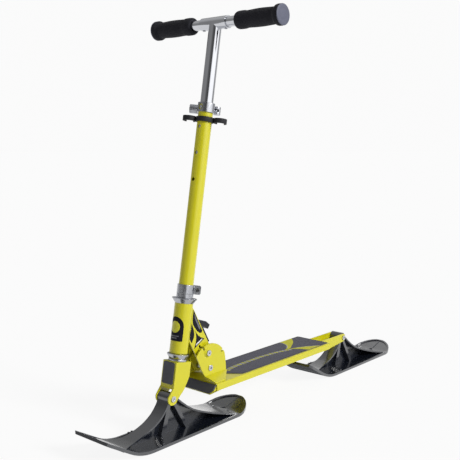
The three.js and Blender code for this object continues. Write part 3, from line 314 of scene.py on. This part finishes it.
def finished(name, shape, body, look, replaced=()):
    """An object made from a bmesh, riding on a body."""
    mesh = bpy.data.meshes.new(name)
    shape.to_mesh(mesh)
    shape.free()
    mesh.materials.append(look)
    piece = bpy.data.objects.new(name, mesh)
    bpy.context.scene.collection.objects.link(piece)
    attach(piece, body)
    if replaced:
        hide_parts(*replaced)
    return piece


def sharpen(shape, angle):
    """Smooth faces that break at edges turned by more than an angle."""
    for face in shape.faces:
        face.smooth = True
    for edge in shape.edges:
        edge.smooth = len(edge.link_faces) == 2 and edge.calc_face_angle(0) < angle


def bridge(shape, low, high):
    """A band of faces between two closed rings of as many points."""
    for k in range(len(low)):
        after = (k + 1) % len(low)
        shape.faces.new([low[k], low[after], high[after], high[k]])


# How a CAD node is cleaned: points nearer than the weld are joined, edges shorter than
# the sliver go (both in mm), faces within the level angle become one, and edges turned
# by more than the crease stay sharp
WELD, SLIVER = 0.004, 0.002
LEVEL = math.radians(0.6)
CREASE = math.radians(34)


def dressed(node, slot, edge):
    """The CAD node's own shape as one welded mesh, its sharp edges broken by a bevel in mm."""
    shape = bmesh.new()
    shape.from_mesh(frame["nodes"][node].data)
    bmesh.ops.remove_doubles(shape, verts=shape.verts, dist=WELD * MM)
    bmesh.ops.dissolve_degenerate(shape, dist=SLIVER * MM, edges=shape.edges)
    bmesh.ops.dissolve_limit(shape, angle_limit=LEVEL, verts=shape.verts, edges=shape.edges)
    if edge:
        sharp = [e for e in shape.edges if len(e.link_faces) == 2 and e.calc_face_angle(0) > CREASE]
        bmesh.ops.bevel(shape, geom=sharp, offset=edge * MM, segments=2, profile=0.5,
                        affect="EDGES", clamp_overlap=False, miter_outer="ARC")
    sharpen(shape, CREASE)
    body = frame["nodes"][node]["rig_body"]
    look = own_looks.get(node, looks[slot])
    piece = finished(f"{node}_finish", shape, body, look, [node])
    weighted = piece.modifiers.new("weighted", "WEIGHTED_NORMAL")
    weighted.keep_sharp = True


def lathed(name, profile, place, body, slot, replaced, sides=64, crease=40):
    """A profile of (height, radius) points in mm, turned about its frame's Z axis."""
    shape = bmesh.new()
    rings = []
    for height, radius in profile:
        ring = []
        for k in range(sides if radius else 1):
            turn = 2 * math.pi * k / sides
            x, y = radius * MM * math.cos(turn), radius * MM * math.sin(turn)
            ring.append(shape.verts.new(place @ Vector((x, y, height * MM))))
        rings.append(ring)
    for low, high in zip(rings, rings[1:]):
        for k in range(sides):
            after = (k + 1) % sides
            corners = [low[k % len(low)], low[after % len(low)],
                       high[after % len(high)], high[k % len(high)]]
            shape.faces.new([c for i, c in enumerate(corners) if c not in corners[:i]])
    bmesh.ops.recalc_face_normals(shape, faces=shape.faces)
    sharpen(shape, math.radians(crease))
    finished(name, shape, body, looks[slot], replaced)


def swept(name, path, radius, body, slot, replaced, sides=10, crease=50):
    """A round section of a radius in mm carried along points in metres."""
    shape = bmesh.new()
    rings = []
    up = Vector((0, 0, 1))
    for i, point in enumerate(path):
        along = (path[min(i + 1, len(path) - 1)] - path[max(i - 1, 0)]).normalized()
        across = along.cross(up).normalized()
        up = across.cross(along).normalized()
        ring = []
        for k in range(sides):
            turn = 2 * math.pi * k / sides
            out = math.cos(turn) * across + math.sin(turn) * up
            ring.append(shape.verts.new(point + radius * MM * out))
        rings.append(ring)
    for low, high in zip(rings, rings[1:]):
        bridge(shape, low, high)
    shape.faces.new(rings[0][::-1])
    shape.faces.new(rings[-1])
    bmesh.ops.recalc_face_normals(shape, faces=shape.faces)
    sharpen(shape, math.radians(crease))
    return finished(name, shape, body, looks[slot], replaced)


def film(name, outline, place, body, look, thick):
    """A thin print with an outline of (u, v) in mm.
    The place takes a point (u, v, height) in mm to metres."""
    shape = bmesh.new()
    low = [shape.verts.new(place(u, v, 0)) for u, v in outline]
    high = [shape.verts.new(place(u, v, thick)) for u, v in outline]
    bridge(shape, low, high)
    shape.faces.new(high)
    shape.faces.new(low[::-1])
    bmesh.ops.recalc_face_normals(shape, faces=shape.faces)
    bmesh.ops.triangulate(shape, faces=[f for f in shape.faces if len(f.verts) > 4])
    finished(name, shape, body, look)


# The CAD nodes, all but those made anew below, and the bevel that some have, in mm
EDGES = {
    "deck": 0.5, "nose_bracket": 0.6, "front_cap": 0.9, "fork": 0.4, "fork_front_plate": 0.5,
    "rear_arm_left": 0.4, "rear_arm_right": 0.4, "release_pull": 0.7,
    "lower_clamp": 0.35, "clamp_lever": 0.4,
}
MADE_ANEW = {"left_grip", "right_grip", "left_end_cap", "right_end_cap", "release_spring"}
for part in frame["record"]["subparts"]:
    if part["node"] not in MADE_ANEW:
        dressed(part["node"], part["material_slot"], EDGES.get(part["node"], 0.0))

# Foam grips and their end caps, turned about the handlebar's line. The grip's profile
# is in shares of its length and radius, and the cap's in mm from the middle
HANDLE_HEIGHT = 889
GRIP_START, GRIP_END, GRIP_RADIUS = 64.5, 180.6, 18
TUBE_RADIUS, INSET = 11.4, 0.4
GRIP_PROFILE = [
    (0, 0.86), (0.004, 0.93), (0.012, 0.985), (0.028, 1.03), (0.05, 1.055), (0.085, 1.065),
    (0.13, 1.065), (0.17, 1.06), (0.19, 1.04), (0.205, 1.01), (0.225, 1.0), (0.26, 1.0),
    (0.3, 1.008), (0.36, 1.028), (0.42, 1.045), (0.5, 1.055), (0.58, 1.055), (0.66, 1.042),
    (0.73, 1.02), (0.8, 0.998), (0.85, 0.985), (0.87, 0.99), (0.885, 1.03), (0.9, 1.12),
    (0.915, 1.185), (0.935, 1.215), (0.96, 1.22), (0.985, 1.215), (0.995, 1.2), (1.0, 1.17),
]
CAP_PROFILE = [
    (169, 0), (169, 9.0), (180.9, 9.1), (180.9, 20.9), (181.2, 21.5), (182.0, 21.8),
    (182.7, 21.6), (183.2, 21.0), (183.4, 20.2), (183.45, 12.5), (183.3, 11.8),
    (183.45, 11.1), (183.5, 4.6), (183.5, 0),
]
handle_line = STEERING @ Matrix.Translation((0, 0, HANDLE_HEIGHT * MM))
grip_length = GRIP_END - GRIP_START
outside = [(GRIP_START + along * grip_length, out * GRIP_RADIUS) for along, out in GRIP_PROFILE]
inner_end = (GRIP_START + INSET, TUBE_RADIUS)
grip = [inner_end, *outside, (GRIP_END, TUBE_RADIUS), inner_end]
for side, name in ((1, "left"), (-1, "right")):
    line = handle_line @ Matrix.Rotation(side * math.pi / 2, 4, "Y")
    lathed(f"{name}_grip_foam", grip, line, f"{name}_handle", "grip_foam", [f"{name}_grip"])
    lathed(f"{name}_end_cap_finish", CAP_PROFILE, line, f"{name}_handle", "cap_plastic",
           [f"{name}_end_cap"], sides=56, crease=55)

# The release spring as a coil, from its foot up to its upper seat
COIL_TURNS, COIL_STEPS = 7, 24
COIL_RADIUS, WIRE_RADIUS = 3.3, 0.6
COIL_MIDDLE, COIL_FOOT, COIL_SEAT = 20, 52.9, 79.0
coil = []
for i in range(COIL_TURNS * COIL_STEPS + 1):
    turn = 2 * math.pi * i / COIL_STEPS
    height = COIL_FOOT + (COIL_SEAT - COIL_FOOT) * i / (COIL_TURNS * COIL_STEPS)
    x, y = COIL_RADIUS * math.cos(turn), COIL_MIDDLE + COIL_RADIUS * math.sin(turn)
    coil.append(ARM @ (Vector((x, y, height)) * MM))
spring = swept("release_spring_coil", coil, WIRE_RADIUS, "neck_frame", "plated_steel",
               ["release_spring"])
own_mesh(spring)

# Print on the deck's tape: a border, a dashed stripe, and a yellow fork with pale lines.
# Places are (across, along) in mm from a point on the tape's middle line
TAPE_TOP = 96.2
DECK_FRONT_TO_PRINT = 238
PRINT_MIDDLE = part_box("deck")[0][1] / MM + DECK_FRONT_TO_PRINT
BORDER_THICK, PRINT_THICK = 0.05, 0.07


def on_tape(u, v, height):
    return Vector((u, PRINT_MIDDLE + v, TAPE_TOP + height)) * MM


def tape_print(name, outline, look, thick=PRINT_THICK):
    film(name, outline, on_tape, "deck_frame", look, thick)


BORDER = [
    (-14, -169.5), (14, -169.5), (47.2, -143.4), (47.2, 202.3), (-47.2, 202.3), (-47.2, -143.4),
]
BORDER_WIDTH, BORDER_MITRE = 1.6, 0.4
for k, (start, end) in enumerate(zip(BORDER, BORDER[1:] + BORDER[:1])):
    start, end = Vector(start), Vector(end)
    along = (end - start).normalized()
    inward = Vector((-along.y, along.x)) * BORDER_WIDTH
    mitre = along * BORDER_MITRE
    corners = [start, end, end + inward - mitre, start + inward + mitre]
    tape_print(f"tape_border_{k}", corners, dark_print, BORDER_THICK)

STRIPE = [(-160, 10), (-141, 2.5), (-110, -1.5), (-16, -3), (40, 2), (68, 9), (90, 14)]
DASHES, FIRST_DASH, DASH_STEP = 28, -152, 8.6
DASH_LENGTH, DASH_HALF, DASH_SLANT = 5.4, 5.2, 2.2


def stripe_middle(along):
    """How far across the dashed stripe runs at a place along the deck."""
    for (start, across), (end, next_across) in zip(STRIPE, STRIPE[1:]):
        if along <= end:
            return across + (next_across - across) * (along - start) / (end - start)
    return STRIPE[-1][1]


for k in range(DASHES):
    y = FIRST_DASH + k * DASH_STEP
    x = stripe_middle(y)
    tape_print(f"tape_dash_{k}", [
        (x - DASH_HALF, y - DASH_SLANT), (x + DASH_HALF, y + DASH_SLANT),
        (x + DASH_HALF, y + DASH_LENGTH + DASH_SLANT),
        (x - DASH_HALF, y + DASH_LENGTH - DASH_SLANT),
    ], pale_print if k % 2 else yellow_print)

tape_print("tape_field_wedge", [
    (5, 70), (9, 82), (15, 96), (29, 106.5), (48.3, 114.5), (48.3, 166), (37, 148), (27, 134),
    (15, 109), (8, 90),
], yellow_print)
tape_print("tape_field_wedge_line", [
    (15, 109), (27, 134), (37, 148), (48.3, 166), (48.3, 168.6), (35.6, 149.2), (25.6, 135),
    (13.8, 110),
], pale_print)
tape_print("tape_field_band", [
    (-48.3, 122), (-39, 122), (-22.4, 115.4), (-11, 106), (0, 90), (5, 72), (8, 84), (3, 101),
    (-6, 117), (-17.3, 138.4), (-30, 156), (-48.3, 174),
], yellow_print)
tape_print("tape_field_band_line", [
    (-48.3, 119.8), (-39, 119.8), (-23.2, 113.4), (-12.4, 104.4), (-1.6, 88.8), (0, 90),
    (-11, 106), (-22.4, 115.4), (-39, 122), (-48.3, 122),
], pale_print)

# Print on the neck's sides, in (back, up) in mm along the arm's frame
NECK_HALF = 14.02
FILM_THICK, LINE_THICK = 0.12, 0.20
NECK_PRINTS = [
    ("panel", black_film, FILM_THICK, [
        (30.9, 140), (29.9, 110), (29.4, 92), (29.2, 82.6), (27.6, 79.6), (24.6, 79.2),
        (20.6, 82.2), (16.2, 90.8), (13.6, 103), (13.2, 113), (17.4, 122.6)]),
    ("panel_line", grey_film, LINE_THICK, [
        (28.4, 130.5), (28.5, 127), (27.6, 92), (26.2, 88.4), (24.2, 88.8), (23.0, 92),
        (24.4, 120)]),
    ("sliver", black_film, FILM_THICK, [
        (10.8, 117), (9.9, 107), (8.8, 98.5), (5.6, 91.6), (2.0, 86.6), (-4.0, 82.6),
        (-10.2, 79.2), (-11.6, 84), (-11.0, 91.2), (-5.4, 99.4), (2.4, 107)]),
    ("wedge", black_film, FILM_THICK, [
        (12.0, 96.4), (12.2, 88), (14.2, 80), (18.6, 71.4), (26.0, 61.4), (8, 62.6),
        (-11.6, 63.2), (-3.6, 68.4), (3.4, 75.6), (8.6, 84.6)]),
    ("wedge_line", white_film, LINE_THICK, [
        (19.6, 66.6), (20.4, 64.2), (8, 64.9), (-4.4, 65.4), (1.6, 68.6), (10, 68.0)]),
]


def on_neck(side):
    """Where a point (u, v, height) on one side of the neck lies."""
    return lambda u, v, height: ARM @ (Vector((side * (NECK_HALF + height), u, v)) * MM)


for side, name in ((1, "left"), (-1, "right")):
    for part, look, thick, outline in NECK_PRINTS:
        film(f"neck_{part}_{name}", outline, on_neck(side), "neck_frame", look, thick)

# A badge wrapped round the front of the head tube, in rows of (height, left, right) in mm
HEAD_TUBE_RADIUS, BADGE_GAP = 20.0, 0.02
PLATE_THICK, SIGN_THICK = 0.15, 0.24
TIP_WELD = 0.001  # joins the points of a row that has no width


def on_head_tube(round_it, up, height):
    turn = round_it / HEAD_TUBE_RADIUS
    reach = (HEAD_TUBE_RADIUS + BADGE_GAP + height) * MM
    return STEERING @ Vector((reach * math.sin(turn), -reach * math.cos(turn), up * MM))


def wrapped_print(name, rows, look, thick, columns=24, crease=40):
    """A print wrapped round the head tube, its top a thickness in mm over the tube."""
    shape = bmesh.new()
    grid = []
    for up, left, right in rows:
        places = [left + (right - left) * k / columns for k in range(columns + 1)]
        grid.append([shape.verts.new(on_head_tube(place, up, thick)) for place in places])
    for low, high in zip(grid, grid[1:]):
        for k in range(columns):
            shape.faces.new([low[k], low[k + 1], high[k + 1], high[k]])
    bmesh.ops.remove_doubles(shape, verts=shape.verts, dist=TIP_WELD * MM)
    bmesh.ops.recalc_face_normals(shape, faces=shape.faces)
    sharpen(shape, math.radians(crease))
    piece = finished(name, shape, "neck_frame", look)
    solid = piece.modifiers.new("thickness", "SOLIDIFY")
    solid.thickness = thick * MM
    solid.offset = -1


def arch(middle, rise, half, steps, first, last):
    """Rows of an ellipse, from one step to another of those in its quarter turn."""
    rows = []
    for step in range(first, last + 1):
        turn = step * math.pi / (2 * steps)
        rows.append((middle + rise * math.sin(turn), -half * math.cos(turn), half * math.cos(turn)))
    return rows


HALF, FOOT, SHOULDER, RISE = 20.6, 199, 230, 21
TIP_HALF = 1.2
plate = [(FOOT, -HALF + 1, HALF - 1), (FOOT + 1, -HALF, HALF), (SHOULDER, -HALF, HALF)]
plate += arch(SHOULDER, RISE, HALF, 12, 1, 11)
plate += [(SHOULDER + RISE, -TIP_HALF, TIP_HALF)]
wrapped_print("badge_plate", plate, black_film, PLATE_THICK)
DISC_MIDDLE, DISC_RADIUS = 229, 12.5
disc = arch(DISC_MIDDLE, DISC_RADIUS, DISC_RADIUS, 10, -10, 10)
wrapped_print("badge_disc", disc, yellow_film, SIGN_THICK)
BARS, BAR_HEIGHT = ((208.6, 11), (204.2, 7.5)), 2.2
for k, (low, half) in enumerate(BARS):
    bar = [(low, -half, half), (low + BAR_HEIGHT, -half, half)]
    wrapped_print(f"badge_bar_{k}", bar, grey_film, SIGN_THICK)


# Stage, light and camera

def sun(name, energy, direction, spread, **settings):
    """A sun that shines in a direction, its disc spread over an angle in degrees."""
    lamp = bpy.data.lights.new(name, "SUN")
    lamp.energy = energy
    lamp.angle = math.radians(spread)
    for key, value in settings.items():
        setattr(lamp, key, value)
    holder = bpy.data.objects.new(name, lamp)
    holder.rotation_euler = Vector(direction).to_track_quat("-Z", "Y").to_euler()
    bpy.context.scene.collection.objects.link(holder)
    return holder


sun("key", 2.9, (-0.86, -0.17, -0.48), 20)
fill = sun("fill", 0.34, (0.30, 0.85, -0.45), 60, use_shadow=False)
floor_bounce = sun("floor_bounce", 0.35, (-0.20, 0.30, 0.93), 60, use_shadow=False)
sun("back", 0.35, (0.20, -0.90, -0.50), 60)
for holder in (fill, floor_bounce):
    holder.visible_glossy = False

# The studio: plain soft light, and for reflections a wide bright panel to one side,
# a dark one beside it and dim walls round the rest, as (degrees round, level)
BACKDROP = 0.962
AMBIENT = 0.17
BRIGHTEST = 1.6
WALLS = [
    (-180, 0.28), (-100, 0.30), (-76, 0.14), (-40, 0.06), (-27, 1.6), (38, 1.6), (58, 0.45),
    (84, 0.24), (130, 0.32), (180, 0.28),
]
CEILING, CEILING_START, CEILING_END = 0.55, 0.45, 0.75
studio = bpy.data.worlds.new("studio")
bpy.context.scene.world = studio
studio.use_nodes = True
tree = studio.node_tree
tree.nodes.clear()
way = add(tree, "SeparateXYZ", {"Vector": add(tree, "TexCoord").outputs["Generated"]}).outputs
turn = add(tree, "Math", {0: way["Y"], 1: way["X"]}, operation="ARCTAN2").outputs[0]
ramp = add(tree, "ValToRGB", {"Fac": between(tree, turn, 0, 1, start=-math.pi, end=math.pi)})
for k, (angle, level) in enumerate(WALLS):
    place = (angle + 180) / 360
    stops = ramp.color_ramp.elements
    stop = stops[k] if k < 2 else stops.new(place)  # a new ramp has two stops
    stop.position = place
    stop.color = (level / BRIGHTEST, level / BRIGHTEST, level / BRIGHTEST, 1)
ramp.color_ramp.interpolation = "EASE"
scaled = {0: ramp.outputs["Color"], 1: BRIGHTEST}
walls = add(tree, "Math", scaled, operation="MULTIPLY").outputs[0]
overhead = between(tree, way["Z"], 0, 1, start=CEILING_START, end=CEILING_END)
rays = add(tree, "LightPath").outputs
glossy = mixed(tree, rays["Is Glossy Ray"], AMBIENT, mixed(tree, overhead, walls, CEILING))
seen = {0: rays["Is Camera Ray"], 1: rays["Is Transmission Ray"]}
direct = add(tree, "Math", seen, operation="MAXIMUM").outputs[0]
strength = mixed(tree, direct, glossy, BACKDROP)
background = add(tree, "Background", {"Color": (1, 1, 1, 1), "Strength": strength})
tree.links.new(background.outputs[0], add(tree, "OutputWorld").inputs["Surface"])

# A pale floor that glows to the camera and in reflections, and still takes the shadow
FLOOR_RADIUS = 40
FLOOR_WHITE = (0.90, 0.90, 0.90, 1)
FLOOR_GLOW = 0.90
bpy.ops.mesh.primitive_circle_add(vertices=96, radius=FLOOR_RADIUS, fill_type="NGON")
floor = bpy.context.object
floor.name = "floor"
floor_look = bpy.data.materials.new("pale_floor")
floor_look.use_nodes = True
tree = floor_look.node_tree
tree.nodes.clear()
rays = add(tree, "LightPath").outputs
seen = {0: rays["Is Camera Ray"], 1: rays["Is Glossy Ray"]}
direct = add(tree, "Math", seen, operation="MAXIMUM").outputs[0]
glow = add(tree, "Math", {0: direct, 1: FLOOR_GLOW}, operation="MULTIPLY").outputs[0]
matt = add(tree, "BsdfDiffuse", {"Color": FLOOR_WHITE}).outputs[0]
lit = add(tree, "Emission", {"Color": (1, 1, 1, 1), "Strength": 1.0}).outputs[0]
surface_mix = add(tree, "MixShader", {0: glow, 1: matt, 2: lit}).outputs[0]
tree.links.new(surface_mix, add(tree, "OutputMaterial").inputs["Surface"])
floor.data.materials.append(floor_look)

# The camera, with its focal length in pixels of a frame this many pixels wide
CAMERA_PLACE = Vector((1.1211, -1.4331, 0.6251))
FORWARD = Vector((-0.651, 0.7497, -0.1186)).normalized()
SENSOR, FOCAL_PIXELS, FRAME_PIXELS = 36, 753.6, 460
camera_data = bpy.data.cameras.new("camera")
camera_data.sensor_width = SENSOR
camera_data.lens = FOCAL_PIXELS * SENSOR / FRAME_PIXELS
camera = bpy.data.objects.new("camera", camera_data)
camera.rotation_euler = FORWARD.to_track_quat("-Z", "Y").to_euler()
camera.location = CAMERA_PLACE
bpy.context.scene.collection.objects.link(camera)
bpy.context.scene.camera = camera
bpy.context.scene.view_settings.view_transform = "Standard"
